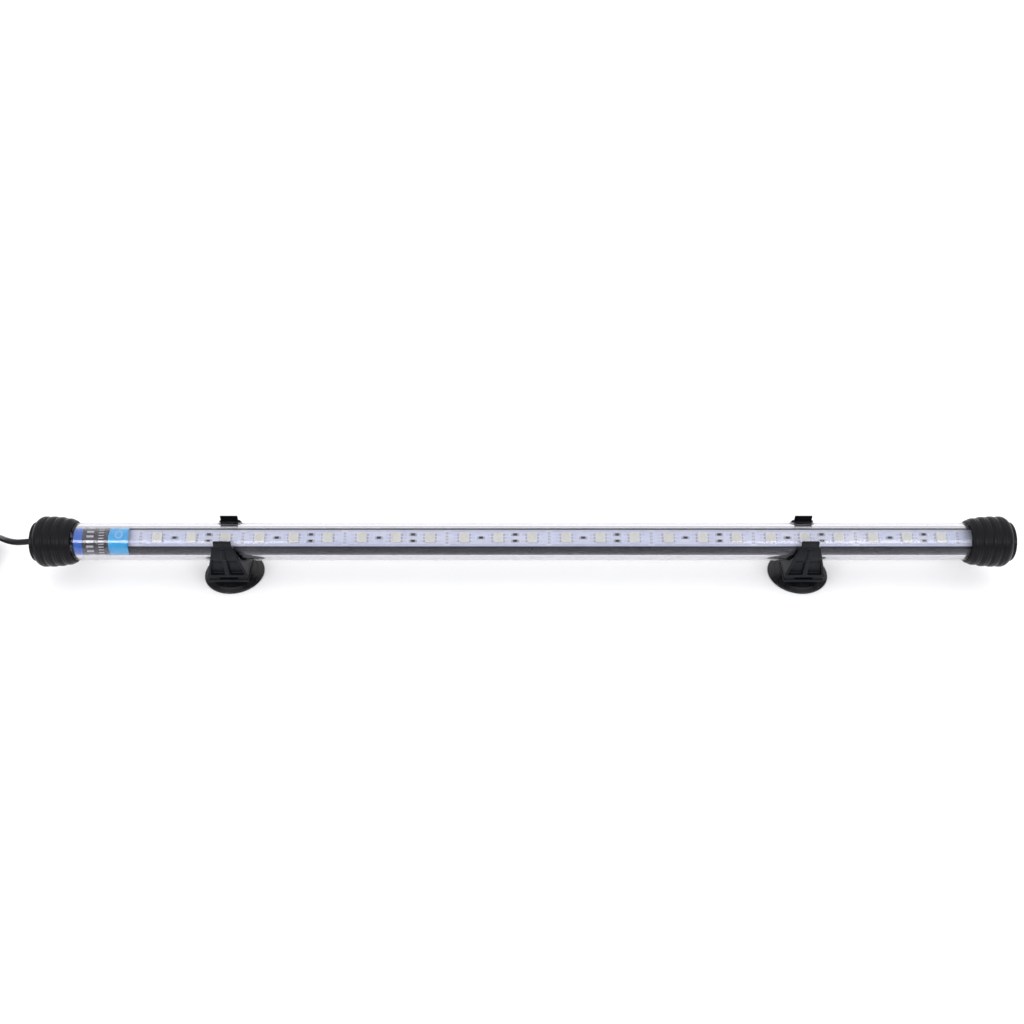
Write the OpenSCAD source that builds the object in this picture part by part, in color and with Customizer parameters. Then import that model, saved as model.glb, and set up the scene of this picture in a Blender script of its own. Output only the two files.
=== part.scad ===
// Submersible LED tube light for an aquarium: an LED strip on a D-section bar,
// sealed in a thick clear tube, held in two snap clips that stand on suction cups.
// +X runs along the tube, away from the lead. +Z is up, and z = 0 is what the cups stand on.

/* [Tube] */
// Length of the clear tube
tube_length = 468; // [420:1:468]
// Outer diameter of the tube
tube_od = 18.6; // [18:0.1:19]
// Bore of the tube
tube_id = 13.8; // [13.6:0.1:14.2]
// Height of the tube's axis above the surface
axis_height = 21.8; // [21.8:0.1:24]

/* [End caps] */
// Length of the right cap
cap_length = 22; // [21:0.5:24]
// Length of the left cap, which the lead leaves by
left_cap_length = 20.2; // [20:0.1:22]
// Largest diameter of an end cap
cap_d = 25; // [24:0.1:26]
// Diameter of a cap's lip, next to the tube
cap_lip_d = 21.2; // [20.8:0.1:22]
// Depth to which the tube sits in a cap
cap_grip = 16; // [12:0.5:16]
// Spacing of the ribs round the right cap
rib_pitch = 4.2; // [4:0.1:4.3]
// Spacing of the ribs round the left cap
left_rib_pitch = 3.8; // [3.6:0.1:4]

/* [LED bar] */
// Number of LEDs on the strip
led_count = 24; // [6:3:24]
// Spacing of the LEDs
led_pitch = 16.6667; // [15:0.0001:16.6667]
// Side of a square LED package
led_size = 5; // [3.5:0.1:5]
// Height of an LED package
led_height = 1.1; // [0.8:0.1:1.4]
// Width of the strip
strip_width = 8; // [7.5:0.1:8.4]
// Middle of the strip along the tube
strip_centre = 12.9; // [8:0.1:13]
// Height of the bar's flat above the tube's axis
flat_height = 3.6; // [3:0.1:3.8]
// Angle by which the light is turned towards the front
aim_angle = 26; // [0:1:45]

/* [Clips] */
// Place of the left clip along the tube
left_clip_x = -145.5; // [-180:0.5:-120]
// Place of the right clip along the tube
right_clip_x = 139; // [100:0.5:180]
// Wall of a clip
clip_wall = 2; // [1.6:0.1:2.2]
// Width of a clip's arms at the height of the tube's axis
arm_width = 13.6; // [12.6:0.1:15]
// Length of a clip's base
base_length = 19.2; // [18:0.1:21]
// Angle above the horizontal at which the arms let go of the tube
arm_angle = 28; // [20:1:34]

/* [Suction cups] */
// Diameter of a suction cup
cup_d = 29.8; // [26:0.1:32]
// Height of a cup's dome
cup_height = 4.7; // [4.2:0.1:4.8]

/* [Lead] */
// Diameter of the lead
lead_d = 3; // [2.8:0.1:3]
// Radius of the coil at the middle of its turns
coil_radius = 16.5; // [15:0.5:18]
// Turns that lie side by side in the coil
coil_columns = 3; // [3:1:3]
// Turns that lie on each other in the coil
coil_layers = 4; // [4:1:5]

/* [Hidden] */
$fn = 64;
// Gap between two pieces that are fitted together
fit_gap = 0.02;
// Gap between two pieces that run on each other
run_gap = 0.05;

cap_rim_x = tube_length / 2 - cap_grip;
cap_tip_x = cap_rim_x + cap_length;
left_cap_grip = left_cap_length - cap_length + cap_grip;
tube_r = tube_od / 2;
bore_r = tube_id / 2;
plug_length = 10;
plug_inner_x = tube_length / 2 - plug_length;
gasket_length = 1;

bar_r = bore_r - 0.2;
bar_wall = 1;
bar_left_x = -198;
strip_length = led_count * led_pitch;
strip_left_x = strip_centre - strip_length / 2;
strip_lead_in = 9.2;
strip_lead_out = 9.6;
board_left_x = strip_left_x - strip_lead_in;
board_length = strip_lead_in + strip_length + strip_lead_out;
strip_side = 0.25;
tape_height = 0.12;
board_height = 0.28;
board_top = flat_height + tape_height + board_height;
leds_in_segment = 3;
segment_count = led_count / leds_in_segment;
segment_length = leds_in_segment * led_pitch;
resistor_size = [3, 1.4, 0.5];
resistor_side = 1.6;
pad_height = 0.1;

clip_r = tube_r + run_gap;
clip_outer_r = clip_r + clip_wall;
arm_rib_width = 1.9;
arm_rib_height = 0.9;
tip_width = 8.6;
tip_height = 8.6;
tip_face = 9.9;
rib_face = clip_outer_r + 0.35;
shoulder_z = -1;
skirt_z = -11;
saddle_top_z = -1.5;
ledge_out = 0.3;
ledge_face = clip_outer_r + 0.5;
groove_depth = 1;
pocket_face = 9.8;
pocket_wall = 1.2;
base_bottom = cup_height + 0.3;
base_plate = 1.6;
knob_gap = 1.9;
knob_r = 4;
neck_r = 2.6;
knob_thickness = 1.5;

window_r = 1.9;
window_depth = 0.5;
wire_pad_side = 2.2;

grommet_r = 2.5;
grommet_flange_r = 2.9;
grommet_tip_r = 2;
grommet_tip_x = -cap_tip_x - 2.2;
split_x = -218;
wire_r = 0.5;
lead_r = lead_d / 2;

// Where the lead runs outside the light, as round numbers
LEAD_ROUTE = [
    [-240, 0, 21.8], [-243, 0, 21.8], [-246, 0.1, 21.4], [-249, 0.6, 20.7],
    [-252, 1.6, 19.9], [-256, 4, 18.4], [-260, 7.4, 16.2], [-264, 11.3, 13.6],
    [-267.5, 14.4, 10.9], [-270.5, 17.2, 8.7], [-273.5, 18.8, 5.9], [-276.5, 19.9, 3.7],
    [-280, 20.7, 2.2], [-284, 20.9, 1.6], [-287, 20.7, 1.5], [-290, 20.5, 1.5]
];
coil_centre = [-290, 1];
// Where the lead runs from the coil, over its turns, to its plug
TAIL_ROUTE = [
    [-309.5, 1, 10.5], [-308.8, -4.1, 10.7], [-306.9, -8.8, 11.3], [-303.8, -12.8, 12.1],
    [-299.7, -15.9, 12.9], [-295, -17.8, 13.6], [-290, -18.4, 14.1], [-285, -17.6, 14.6],
    [-280.5, -15.4, 15.1], [-276.9, -12.1, 15.6], [-274.3, -8.1, 16.1], [-272.8, -3.6, 16.6],
    [-272.4, 0, 16.9], [-273, 3.3, 17.1], [-274.7, 6.1, 17.3], [-277.1, 7.9, 17.4],
    [-280, 8.5, 17.4]
];
plug_r = 5.3;
plug_relief = 8;
plug_grip = 15;
barrel_length = 9.5;
barrel_r = 2.75;

// Frames

// Children's +Z runs along the tube from x, and their origin is on its axis
module along_tube(x = 0) {
    translate([x, 0, axis_height])
        rotate([0, 90, 0])
            children();
}

// Children are built about the tube's axis, with +Z the way that the LEDs shine
module aimed() {
    translate([0, 0, axis_height])
        rotate([aim_angle, 0, 0])
            children();
}

// An outline in Y and Z, extruded along X from one place to another
module extrude_x(x0, x1) {
    translate([x0, 0, 0])
        rotate([90, 0, 90])
            linear_extrude(x1 - x0)
                children();
}

module pipe(r_out, r_in, length) {
    difference() {
        cylinder(r = r_out, h = length);
        translate([0, 0, -1])
            cylinder(r = r_in, h = length + 2);
    }
}

module box_from(low, high) {
    translate(low)
        cube(high - low);
}

// Tube and caps

module clear_tube() {
    color([0.85, 0.88, 0.95, 0.4])
        along_tube(-tube_length / 2)
            pipe(tube_r, bore_r, tube_length);
}

// Radius of a cap over the crests of its ribs, at a distance from its lip
function crest_r(z) =
    let (shoulder = 12.5, away = max(0, shoulder - z) / shoulder)
    cap_d / 2 - (cap_d - cap_lip_d) / 2 * away * away;

// Half of a cap's section: radius across, and distance from the lip upwards
module cap_section(length, grip, pitch) {
    rib_arc = 4;
    last_rib = 3;
    core_depth = 1.4;
    corner_r = 7.8;
    difference() {
        intersection() {
            union() {
                polygon([
                    [0, 0], [crest_r(0.9) - 0.3, 0], [crest_r(5) - core_depth, 5],
                    [crest_r(9) - core_depth, 9], [crest_r(13) - core_depth, 13],
                    [crest_r(16) - core_depth, 16], [cap_d / 2 - corner_r, length],
                    [0, length]
                ]);
                for (i = [0 : last_rib])
                    let (z = pitch - 0.3 + i * pitch)
                        translate([crest_r(z) - rib_arc, z])
                            circle(r = rib_arc);
                translate([cap_lip_d / 2 - 0.9, 0.9])
                    circle(r = 0.9);
                translate([cap_d / 2 - corner_r - 0.4, length - corner_r])
                    circle(r = corner_r);
            }
            square([cap_d, length]);
        }
        translate([-1, -1])
            square([1 + tube_r + fit_gap, 1 + grip + gasket_length]);
    }
}

module end_cap(length, grip, pitch) {
    color([0.13, 0.13, 0.14])
        rotate_extrude()
            cap_section(length, grip, pitch);
}

module right_end_cap() {
    along_tube(cap_rim_x)
        end_cap(cap_length, cap_grip, rib_pitch);
}

module left_end_cap() {
    difference() {
        mirror([1, 0, 0])
            along_tube(cap_tip_x - left_cap_length)
                end_cap(left_cap_length, left_cap_grip, left_rib_pitch);
        along_tube(-cap_tip_x - 1)
            cylinder(r = grommet_r + fit_gap, h = cap_length);
    }
}

module left_tube_plug() {
    color([0.75, 0.75, 0.72])
        along_tube(-tube_length / 2)
            pipe(bore_r - fit_gap, lead_r + fit_gap, plug_length);
}

module right_tube_plug() {
    color([0.75, 0.75, 0.72])
        along_tube(plug_inner_x)
            cylinder(r = bore_r - fit_gap, h = plug_length);
}

module left_gasket() {
    color([0.2, 0.2, 0.2])
        along_tube(-tube_length / 2 - gasket_length)
            pipe(tube_r - 0.1, grommet_r + 0.5, gasket_length);
}

module right_gasket() {
    color([0.2, 0.2, 0.2])
        along_tube(tube_length / 2)
            pipe(tube_r - 0.1, grommet_r + 0.5, gasket_length);
}

// LED bar

module d_section(r, top) {
    intersection() {
        circle(r = r);
        translate([-r, -r])
            square([2 * r, r + top]);
    }
}

module led_bar() {
    color([0.1, 0.11, 0.16])
        aimed()
            extrude_x(bar_left_x, plug_inner_x)
                difference() {
                    d_section(bar_r, flat_height);
                    d_section(bar_r - bar_wall, flat_height - bar_wall);
                }
}

module strip_layer(bottom, height) {
    aimed()
        translate([board_left_x, strip_side - strip_width / 2, bottom])
            cube([board_length, strip_width, height]);
}

module adhesive_tape() {
    color([0.9, 0.85, 0.6])
        strip_layer(flat_height, tape_height);
}

module led_board() {
    color([0.82, 0.85, 0.93])
        strip_layer(flat_height + tape_height, board_height);
}

// Children once at each LED, with the origin on the board's face
module at_leds() {
    aimed()
        for (i = [0 : led_count - 1])
            translate([strip_left_x + (i + 0.5) * led_pitch, strip_side, board_top])
                children();
}

module led_packages() {
    color([0.93, 0.93, 0.9])
        at_leds()
            difference() {
                translate([-led_size / 2, -led_size / 2, 0])
                    cube([led_size, led_size, led_height]);
                translate([0, 0, led_height - window_depth])
                    cylinder(r = window_r, h = led_height);
            }
}

module led_windows() {
    color([0.95, 0.92, 0.75])
        at_leds()
            translate([0, 0, led_height - window_depth])
                cylinder(r = window_r - fit_gap, h = window_depth - 0.05);
}

// One resistor after the first LED of each segment, and two after the second
module resistors() {
    places = [[1, 0], [2, -resistor_side], [2, resistor_side]];
    color([0.08, 0.08, 0.08])
        aimed()
            for (segment = [0 : segment_count - 1], place = places)
                translate([
                    strip_left_x + segment * segment_length + place[0] * led_pitch,
                    strip_side + place[1], board_top + resistor_size[2] / 2
                ])
                    cube(resistor_size, center = true);
}

// A soldered row of leads on each side of each LED, and the two pads of the supply wires
module solder_pads() {
    pad_width = 0.8;
    pad_row = 4.2;
    wire_pad = [2.2, 2, pad_height];
    color([0.75, 0.76, 0.78])
        union() {
            at_leds()
                for (side = [-1, 1])
                    translate([
                        side * (led_size / 2 + pad_width / 2 + fit_gap) - pad_width / 2,
                        -pad_row / 2, 0
                    ])
                        cube([pad_width, pad_row, pad_height]);
            aimed()
                for (side = [-1, 1])
                    translate([
                        board_left_x + 0.4, strip_side + side * wire_pad_side - wire_pad[1] / 2,
                        board_top
                    ])
                        cube(wire_pad);
        }
}

// Lead's end inside the light

module supply_cable_end() {
    color([0.1, 0.1, 0.1])
        along_tube(-cap_tip_x)
            cylinder(r = lead_r, h = split_x + cap_tip_x);
}

module shrink_sleeve() {
    sleeve_length = 8;
    color([0.15, 0.15, 0.16])
        along_tube(split_x - 5)
            pipe(lead_r + 0.5, lead_r + fit_gap, sleeve_length);
}

// One supply wire, on one side of the bar's middle
module supply_wire(side) {
    pad_z = board_top + pad_height + wire_r + fit_gap;
    aimed()
        cable([
            [split_x, side * 0.7, 0],
            [split_x + 4, side * 0.7, 0],
            [split_x + 7, strip_side + side * 1.2, 1.4],
            [split_x + 11, strip_side + side * 1.8, 3.6],
            [split_x + 15, strip_side + side * wire_pad_side, 5.1],
            [board_left_x - 3.5, strip_side + side * wire_pad_side, 5.2],
            [board_left_x - 1, strip_side + side * wire_pad_side, pad_z + 0.2],
            [board_left_x + 0.7, strip_side + side * wire_pad_side, pad_z],
            [board_left_x + 2.2, strip_side + side * wire_pad_side, pad_z]
        ], wire_r);
}

module red_wire() {
    color([0.75, 0.1, 0.08])
        supply_wire(1);
}

module black_wire() {
    color([0.08, 0.08, 0.08])
        supply_wire(-1);
}

module cable_grommet() {
    color([0.1, 0.1, 0.1])
        difference() {
            union() {
                along_tube(-cap_tip_x - 1)
                    cylinder(r = grommet_r, h = cap_length - cap_grip - gasket_length + 1);
                along_tube(grommet_tip_x)
                    cylinder(
                        r1 = grommet_tip_r, r2 = grommet_flange_r, h = -cap_tip_x - grommet_tip_x
                    );
            }
            along_tube(grommet_tip_x - 1)
                cylinder(r = lead_r + fit_gap, h = cap_length);
        }
}

// Printed film rolled inside the tube, next to the left cap, behind the front of the wall
module label() {
    label_left_x = -219;
    label_length = 26.5;
    film = 0.1;
    low_angle = -60;
    high_angle = 150;
    reach = 2 * tube_r;
    color([0.1, 0.45, 0.8])
        intersection() {
            along_tube(label_left_x)
                pipe(bore_r - fit_gap, bore_r - fit_gap - film, label_length);
            translate([0, 0, axis_height])
                extrude_x(label_left_x - 1, label_left_x + label_length + 1)
                    polygon([
                        [0, 0],
                        [-reach * cos(low_angle), reach * sin(low_angle)],
                        [-reach, 0], [-reach, reach], [0, reach],
                        [-reach * cos(high_angle), reach * sin(high_angle)]
                    ]);
        }
}

// Clips

// Everything below the angle at which the arms end, as an outline in Y and Z
module below_arm_tips() {
    far = 30;
    polygon([
        [0, 0], [far * cos(arm_angle), far * sin(arm_angle)], [far, -far],
        [-far, -far], [-far * cos(arm_angle), far * sin(arm_angle)]
    ]);
}

// Half of the clip's width at a height from the tube's axis
function half_width(z) =
    arm_width / 2 + (base_length - arm_width) / 2 * (shoulder_z - z) / (shoulder_z - skirt_z);

// The clip's outline from the front, wider towards the base
module clip_front(bottom, top) {
    intersection() {
        polygon([
            [-half_width(12), 12], [half_width(12), 12],
            [base_length / 2, skirt_z], [base_length / 2, -15],
            [-base_length / 2, -15], [-base_length / 2, skirt_z]
        ]);
        translate([-base_length, bottom])
            square([2 * base_length, top - bottom]);
    }
}

// A flared tip at the end of an arm, as an outline in Y and Z
module tip_section() {
    inner = clip_outer_r - 1;
    polygon([
        [inner * cos(arm_angle), inner * sin(arm_angle)],
        [inner * cos(arm_angle - 12), inner * sin(arm_angle - 12)],
        [clip_outer_r * cos(arm_angle - 12), clip_outer_r * sin(arm_angle - 12)],
        [clip_outer_r * cos(arm_angle), clip_outer_r * sin(arm_angle)],
        [tip_face, tip_height - 0.6], [tip_face - 0.3, tip_height],
        [tip_face - 1.1, tip_height]
    ]);
}

// A flat plate of the clip's base, centred on the clip
module plate(half_x, half_y, bottom, top) {
    box_from([-half_x, -half_y, bottom], [half_x, half_y, top]);
}

// The ring that grips the tube, its tips, and the saddle and plates below it, about the tube's axis
module clip_outside() {
    lower_z = base_bottom - axis_height;
    upper_z = lower_z + base_plate + knob_gap;
    saddle_z = upper_z + base_plate;
    ledge_x = base_length / 2 + ledge_out;
    intersection() {
        extrude_x(-base_length / 2, base_length / 2)
            intersection() {
                circle(r = clip_outer_r);
                below_arm_tips();
            }
        rotate([90, 0, 0])
            linear_extrude(4 * tube_r, center = true)
                clip_front(-15, 12);
    }
    rotate([90, 0, 0])
        linear_extrude(2 * clip_outer_r, center = true)
            clip_front(saddle_z - 0.5, saddle_top_z);
    extrude_x(-arm_rib_width / 2, arm_rib_width / 2) {
        intersection() {
            circle(r = clip_outer_r + arm_rib_height);
            below_arm_tips();
            translate([-2 * tube_r, saddle_top_z])
                square([4 * tube_r, 4.5 - saddle_top_z]);
        }
        translate([-rib_face, saddle_z - 0.5])
            square([2 * rib_face, 0.5 + saddle_top_z - saddle_z]);
    }
    for (side = [0, 1])
        mirror([0, side, 0])
            extrude_x(-tip_width / 2, tip_width / 2)
                tip_section();
    plate(ledge_x, ledge_face - 0.2, lower_z, lower_z + base_plate);
    plate(ledge_x - 0.6, ledge_face - groove_depth, lower_z + base_plate - 0.5, upper_z + 0.5);
    plate(ledge_x, ledge_face, upper_z, saddle_z);
}

// Hollows beside the rib on the front and back of the saddle, down to the upper plate
module saddle_pockets() {
    top_z = saddle_top_z - 0.4;
    floor_z = base_bottom - axis_height + 2 * base_plate + knob_gap;
    inner_x = arm_rib_width / 2 + 0.3;
    difference() {
        for (face = [0, 1], side = [0, 1])
            mirror([0, face, 0])
                mirror([side, 0, 0])
                    translate([0, -pocket_face, 0])
                        rotate([90, 0, 0])
                            linear_extrude(pocket_face)
                                polygon([
                                    [inner_x, top_z], [half_width(top_z) - pocket_wall, top_z],
                                    [half_width(floor_z) - pocket_wall - 0.3, floor_z],
                                    [inner_x, floor_z]
                                ]);
        extrude_x(-base_length, base_length)
            circle(r = clip_outer_r - 0.4);
    }
}

// Room for a cup's neck and knob, open to the back so that the cup slides in
module knob_slot() {
    neck_hole_r = neck_r + run_gap;
    knob_room_r = knob_r + 0.5;
    translate([0, 0, base_bottom - axis_height]) {
        translate([0, 0, -1])
            cylinder(r = neck_hole_r, h = base_plate + 1.5);
        box_from([-neck_r + 0.5, 0, -1], [neck_r - 0.5, 2 * tube_r, base_plate + 0.5]);
        translate([0, 0, base_plate])
            cylinder(r = knob_room_r, h = knob_gap);
        box_from(
            [-knob_room_r, -2 * tube_r, base_plate],
            [knob_room_r, 2 * tube_r, base_plate + knob_gap]
        );
    }
}

module clip(x) {
    color([0.1, 0.1, 0.11])
        translate([x, 0, axis_height])
            difference() {
                clip_outside();
                saddle_pockets();
                extrude_x(-base_length, base_length)
                    circle(r = clip_r);
                knob_slot();
            }
}

module left_clip() {
    clip(left_clip_x);
}

module right_clip() {
    clip(right_clip_x);
}

// Half of a suction cup's section: radius across, and height upwards
module cup_section() {
    knob_bottom = base_bottom + base_plate + (knob_gap - knob_thickness) / 2;
    outer_r = cup_d / 2;
    shoulder_r = 5.2;
    hollow_height = 2.6;
    difference() {
        union() {
            polygon([
                [0, 0], [outer_r, 0], [outer_r, 0.5], [outer_r - 0.6, 0.9],
                [outer_r - 3.4, 1.9], [outer_r - 6.6, 3.3], [shoulder_r + 0.8, cup_height - 0.5],
                [shoulder_r, cup_height], [0, cup_height]
            ]);
            square([neck_r, knob_bottom + 0.2]);
            translate([0, knob_bottom])
                square([knob_r, knob_thickness]);
        }
        polygon([
            [0, -1], [outer_r - 1.2, -1], [outer_r - 1.2, 0], [outer_r - 4, 0.9],
            [outer_r - 7, 2], [3, hollow_height], [0, hollow_height]
        ]);
    }
}

module suction_cup(x) {
    color([0.12, 0.12, 0.13])
        translate([x, 0, 0])
            rotate_extrude()
                cup_section();
}

module left_suction_cup() {
    suction_cup(left_clip_x);
}

module right_suction_cup() {
    suction_cup(right_clip_x);
}

// Lead outside the light

// Direction of a route at one of its points
function heading(path, i) =
    let (
        last = len(path) - 1,
        along = i == 0 ? path[1] - path[0]
            : i == last ? path[last] - path[last - 1]
            : path[i + 1] - path[i - 1]
    )
    along / norm(along);

// A ring of points round one point of a route, square to its direction
function ring(path, i, r, sides) =
    let (
        along = heading(path, i),
        across = cross(along, [0, 0, 1]) / norm(cross(along, [0, 0, 1])),
        over = cross(across, along)
    )
    [for (k = [0 : sides - 1])
        path[i] + r * (cos(360 * (k + 0.5) / sides) * across + sin(360 * (k + 0.5) / sides) * over)];

// A round cable along a route, closed at both ends
module cable(path, r, sides = 8) {
    count = len(path);
    points = [for (i = [0 : count - 1]) each ring(path, i, r, sides)];
    walls = [
        for (i = [0 : count - 2], k = [0 : sides - 1])
            let (a = i * sides + k, b = i * sides + (k + 1) % sides)
            each [[a, b, b + sides], [a, b + sides, a + sides]]
    ];
    start = [for (k = [0 : sides - 1]) sides - 1 - k];
    finish = [for (k = [0 : sides - 1]) (count - 1) * sides + k];
    polyhedron(points, concat(walls, [start, finish]), convexity = 6);
}

module lead() {
    color([0.1, 0.1, 0.1])
        cable(LEAD_ROUTE, lead_r);
}

module lead_coil() {
    inner_r = coil_radius - coil_columns * lead_r;
    color([0.1, 0.1, 0.1])
        translate([coil_centre[0], coil_centre[1], 0])
            rotate_extrude()
                translate([inner_r, 0])
                    square([coil_columns * lead_d, coil_layers * lead_d]);
}

module lead_tail() {
    color([0.1, 0.1, 0.1])
        cable(TAIL_ROUTE, lead_r);
}

// A flat band round the coil's turns, at its far side from the light
module coil_tie() {
    band = 0.6;
    band_width = 5;
    width = coil_columns * lead_d;
    height = coil_layers * lead_d;
    color([0.85, 0.85, 0.85])
        translate([coil_centre[0] - coil_radius, coil_centre[1] - band_width / 2, 0])
            difference() {
                translate([-width / 2 - band - 0.4, 0, 0])
                    cube([width + 2 * band + 0.8, band_width, height + band + 0.2]);
                translate([-width / 2 - 0.4, -1, -1])
                    cube([width + 0.8, band_width + 2, height + 1.2]);
            }
}

// Children's +Z runs from the lead's end to the plug's tip
module along_plug(distance = 0) {
    tail_end = TAIL_ROUTE[len(TAIL_ROUTE) - 1];
    translate([tail_end[0] - distance, tail_end[1], tail_end[2]])
        rotate([0, -90, 0])
            children();
}

module plug_body() {
    groove_count = 4;
    color([0.08, 0.08, 0.08])
        along_plug()
            difference() {
                rotate_extrude()
                    polygon([
                        [0, 0], [lead_r + 0.6, 0], [lead_r + 1.6, plug_relief],
                        [plug_r - 0.8, plug_relief], [plug_r, plug_relief + 1.5],
                        [plug_r, plug_relief + plug_grip - 0.6],
                        [plug_r - 0.6, plug_relief + plug_grip], [0, plug_relief + plug_grip]
                    ]);
                for (i = [0 : groove_count - 1])
                    translate([0, 0, plug_relief + 4 + i * 2])
                        pipe(plug_r + 1, plug_r - 0.4, 0.8);
            }
}

module plug_barrel() {
    color([0.8, 0.8, 0.82])
        along_plug(plug_relief + plug_grip)
            pipe(barrel_r, barrel_r - 0.5, barrel_length);
}

module plug_tip() {
    color([0.1, 0.1, 0.1])
        along_plug(plug_relief + plug_grip)
            pipe(barrel_r - 0.5 - fit_gap, 1.05, barrel_length + 0.3);
}

clear_tube();
left_end_cap();
right_end_cap();
left_tube_plug();
right_tube_plug();
left_gasket();
right_gasket();
led_bar();
adhesive_tape();
led_board();
led_packages();
led_windows();
resistors();
solder_pads();
supply_cable_end();
shrink_sleeve();
red_wire();
black_wire();
label();
cable_grommet();
left_clip();
right_clip();
left_suction_cup();
right_suction_cup();
lead();
lead_coil();
lead_tail();
coil_tie();
plug_body();
plug_barrel();
plug_tip();
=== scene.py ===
"""Submersible LED tube light, on its suction cups, with its lead coiled beside it."""
import math

import bmesh
import bpy
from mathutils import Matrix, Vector


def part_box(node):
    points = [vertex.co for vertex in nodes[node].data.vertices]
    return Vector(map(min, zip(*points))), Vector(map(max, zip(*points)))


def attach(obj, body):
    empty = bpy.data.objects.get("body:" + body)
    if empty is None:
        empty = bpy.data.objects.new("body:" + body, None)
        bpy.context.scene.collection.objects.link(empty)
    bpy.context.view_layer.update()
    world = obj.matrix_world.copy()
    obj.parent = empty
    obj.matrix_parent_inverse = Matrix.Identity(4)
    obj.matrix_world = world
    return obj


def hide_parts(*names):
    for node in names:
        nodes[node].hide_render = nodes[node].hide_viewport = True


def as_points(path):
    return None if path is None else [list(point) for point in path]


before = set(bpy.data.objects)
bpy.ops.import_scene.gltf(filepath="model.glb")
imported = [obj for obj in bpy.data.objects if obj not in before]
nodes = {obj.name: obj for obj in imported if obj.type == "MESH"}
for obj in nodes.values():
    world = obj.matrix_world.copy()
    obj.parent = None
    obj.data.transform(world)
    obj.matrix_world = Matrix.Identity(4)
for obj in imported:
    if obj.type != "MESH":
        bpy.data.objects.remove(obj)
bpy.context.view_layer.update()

scene = bpy.context.scene
MM = 0.001


# ---------------------------------------------------------------- sizes, from the frame

def size_of(node):
    low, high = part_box(node)
    return high - low


def middle_of(node):
    low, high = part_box(node)
    return (low + high) / 2


tube_low, tube_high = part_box("clear_tube")
AXIS_Z = middle_of("clear_tube").z
TUBE_R = size_of("clear_tube").z / 2
FIT_GAP = 0.02 * MM
BORE_R = size_of("right_tube_plug").z / 2 + FIT_GAP
CAP_TIP_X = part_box("right_end_cap")[1].x
CAP_R = size_of("right_end_cap").z / 2
BOARD_LEFT, BOARD_RIGHT = (corner.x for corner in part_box("led_board"))
STRIP_LEAD_IN = 9.2 * MM
STRIP_LEAD_OUT = 9.6 * MM
STRIP_LEFT = BOARD_LEFT + STRIP_LEAD_IN
STRIP_RIGHT = BOARD_RIGHT - STRIP_LEAD_OUT
LED_COUNT = 24
LED_PITCH = (STRIP_RIGHT - STRIP_LEFT) / LED_COUNT
SEGMENT = 3 * LED_PITCH
AIM = math.radians(26)
STRIP_SIDE = 0.25 * MM
STRIP_WIDTH = 8 * MM
FLAT_Z = 3.6 * MM
BOARD_TOP = 4.0 * MM
LED_SIZE = 5 * MM
LED_HEIGHT = 1.1 * MM
LED_WELL_DEPTH = 0.5 * MM
LEAD_R = 1.5 * MM
LEFT_CLIP_X = middle_of("left_clip").x
RIGHT_CLIP_X = middle_of("right_clip").x


# ---------------------------------------------------------------- camera

CAMERA_PITCH = math.radians(42)
CAMERA_DISTANCE = 0.565
SENSOR_WIDTH = 36
LENS = 40.254
CAMERA_X = -5.3 * MM
AIM_ABOVE_AXIS = 14.56 * MM


def make_camera():
    camera = bpy.data.objects.new("camera", bpy.data.cameras.new("camera"))
    scene.collection.objects.link(camera)
    camera.data.sensor_width = SENSOR_WIDTH
    camera.data.lens = LENS
    camera.data.clip_start = 0.01
    back = Vector((0, -math.cos(CAMERA_PITCH), math.sin(CAMERA_PITCH)))
    up = Vector((0, math.sin(CAMERA_PITCH), math.cos(CAMERA_PITCH)))
    target = Vector((CAMERA_X, 0, AXIS_Z)) + up * AIM_ABOVE_AXIS
    camera.location = target + back * CAMERA_DISTANCE
    camera.rotation_euler = (-back).to_track_quat("-Z", "Y").to_euler()
    scene.camera = camera


make_camera()


# ---------------------------------------------------------------- materials

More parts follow.
